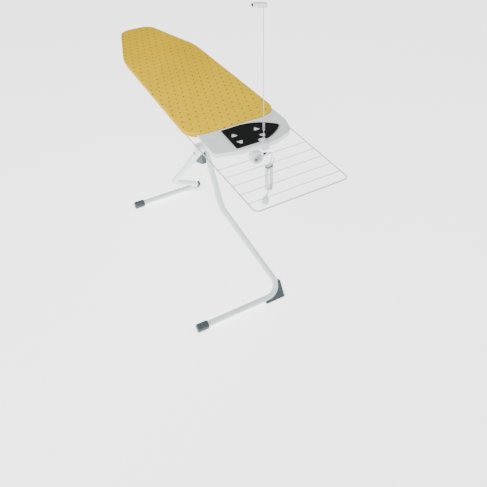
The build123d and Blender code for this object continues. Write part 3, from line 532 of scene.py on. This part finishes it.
class IRONING_OT_frame(Operator):
    """Finish the legs, the rim, the rails and the brackets"""

    bl_idname = "ironing.frame"
    bl_label = "Painted steel"

    def execute(self, context):
        settings = context.scene.ironing_finish
        # Powder coat on steel: smooth orange-peel skin with a soft, wide highlight.
        paint = surface("frame_paint", settings.frame_colour, 0.34, 0.0016, 0.00004, spread=0.03,
                        Coat_Weight=0.25, Coat_Roughness=0.2)
        names = ["rim_frame", "height_rail", "hinge_bracket", "tray_strap_left", "tray_strap_right",
                 "front_leg_tube", "rear_leg_tube", "pivot_sleeve", "release_lever"]
        names += [f"cross_bar_{number}" for number in range(1, 7)]
        finish_nodes(names, paint)
        finish_nodes(["mesh_panel"], paint, bevel=0)
        return {"FINISHED"}


class IRONING_OT_rack(Operator):
    """Finish the laundry rack's wires"""

    bl_idname = "ironing.rack"
    bl_label = "Laundry rack"

    def execute(self, context):
        settings = context.scene.ironing_finish
        # Coated wire: thin plastic skin, a little duller than the tubes.
        coat = surface("rack_coating", settings.wire_colour, 0.4, 0.001, 0.00003, spread=0.03)
        finish_nodes(["rack_frame", "rack_cross_wires"], coat, bevel=0)
        return {"FINISHED"}


class IRONING_OT_plastics(Operator):
    """Finish the caps, glides, plugs and the lever's grip"""

    bl_idname = "ironing.plastics"
    bl_label = "Slate plastics"

    def execute(self, context):
        settings = context.scene.ironing_finish
        # Spark-textured moulding: dull grey-green with a fine even grain.
        slate = surface("slate_plastic", settings.slate_colour, 0.5, 0.0007, 0.00006)
        finish_nodes(["front_cap", "rear_cap", "front_glide", "rear_glide", "pivot_block", "front_end_plug",
                      "rear_end_plug", "lever_grip"], slate, bevel=0.0012)
        # Nylon: milky, with light soaking in a little below its skin.
        nylon = surface("bush_nylon", settings.nylon_colour, 0.4, 0.001, 0.00002, Subsurface_Weight=0.15)
        shader = nylon.node_tree.nodes["Principled BSDF"]
        shader.inputs["Subsurface Radius"].default_value = (0.002, 0.002, 0.002)
        finish_nodes(["front_hinge_bush", "rear_pivot_bush", "slide_bushes"], nylon, bevel=0.0003)
        return {"FINISHED"}


class IRONING_OT_tray(Operator):
    """Finish the iron tray and the iron rest"""

    bl_idname = "ironing.tray"
    bl_label = "Iron tray"

    def execute(self, context):
        settings = context.scene.ironing_finish
        # Glossy moulded plastic: clear reflections, slightly blurred by handling.
        gloss = surface("tray_gloss", settings.tray_colour, 0.2, 0.006, 0.00003, spread=0.02, Coat_Weight=0.3)
        finish_nodes(["tray"], gloss, bevel=0.001)
        # Heat-proof rubber: nearly black, with a dull sheen and a fine moulded grain.
        rubber = surface("rest_rubber", settings.rest_colour, 0.55, 0.0009, 0.00008, spread=0.1,
                         Specular_IOR_Level=0.2)
        finish_nodes(["iron_rest", "rest_screws"], rubber)
        return {"FINISHED"}


class IRONING_OT_fittings(Operator):
    """Finish the socket, the clamp, the clip, the cable rod and the fasteners"""

    bl_idname = "ironing.fittings"
    bl_label = "Socket, rod and fasteners"

    def execute(self, context):
        settings = context.scene.ironing_finish
        # Satin white moulding: bright with a soft highlight.
        white = surface("fitting_plastic", settings.white_colour, 0.3, 0.001, 0.00003, spread=0.02)
        finish_nodes(["socket_body", "socket_bracket", "socket_insert", "rod_clamp", "rod_clip", "plug_body",
                      "plug_relief", "rack_guide_left", "rack_guide_right"], white)
        # Gland: dull dark plastic that hides its own shape.
        dark = surface("gland_plastic", settings.dark_colour, 0.6, 0.0007, 0.00004)
        finish_nodes(["cord_gland"], dark, bevel=0.0004)
        # Zinc-plated steel: fine lengthwise marks blur its reflections.
        steel = surface("zinc_steel", settings.steel_colour, 0.3, 0.0006, 0.00002, stretch=(1, 1, 0.1),
                        Metallic=1.0)
        finish_nodes(["hinge_bolt", "hinge_nut", "pivot_bolt", "pivot_nut", "slide_bar", "lever_pin",
                      "strap_screws", "sleeve_screws"], steel, bevel=0.0003)
        finish_nodes(["cable_rod"], steel, bevel=0)
        return {"FINISHED"}


class IRONING_PT_panel(Panel):
    """The board's pieces and settings"""

    bl_label = "Ironing board"
    bl_space_type = "VIEW_3D"
    bl_region_type = "UI"
    bl_category = "Ironing board"

    def draw(self, context):
        for name in SETTINGS:
            group = getattr(context.scene, name)
            box = self.layout.box()
            for key in group.__annotations__:
                box.prop(group, key)
        for operator in STEPS:
            self.layout.operator(operator.bl_idname)


SETTINGS = {"ironing_cover": CoverSettings, "ironing_cord": CordSettings, "ironing_finish": FinishSettings,
            "ironing_stage": StageSettings}
STEPS = (IRONING_OT_stage, IRONING_OT_cord, IRONING_OT_cover, IRONING_OT_frame, IRONING_OT_rack,
         IRONING_OT_plastics, IRONING_OT_tray, IRONING_OT_fittings)


def register():
    for group in SETTINGS.values():
        bpy.utils.register_class(group)
    for name, group in SETTINGS.items():
        setattr(bpy.types.Scene, name, PointerProperty(type=group))
    for step in (*STEPS, IRONING_PT_panel):
        bpy.utils.register_class(step)


def unregister():
    for step in reversed((*STEPS, IRONING_PT_panel)):
        bpy.utils.unregister_class(step)
    for name in SETTINGS:
        delattr(bpy.types.Scene, name)
    for group in reversed(SETTINGS.values()):
        bpy.utils.unregister_class(group)


def main():
    register()
    for step in STEPS:
        group, name = step.bl_idname.split(".")
        getattr(getattr(bpy.ops, group), name)()


if __name__ == "__main__":
    main()
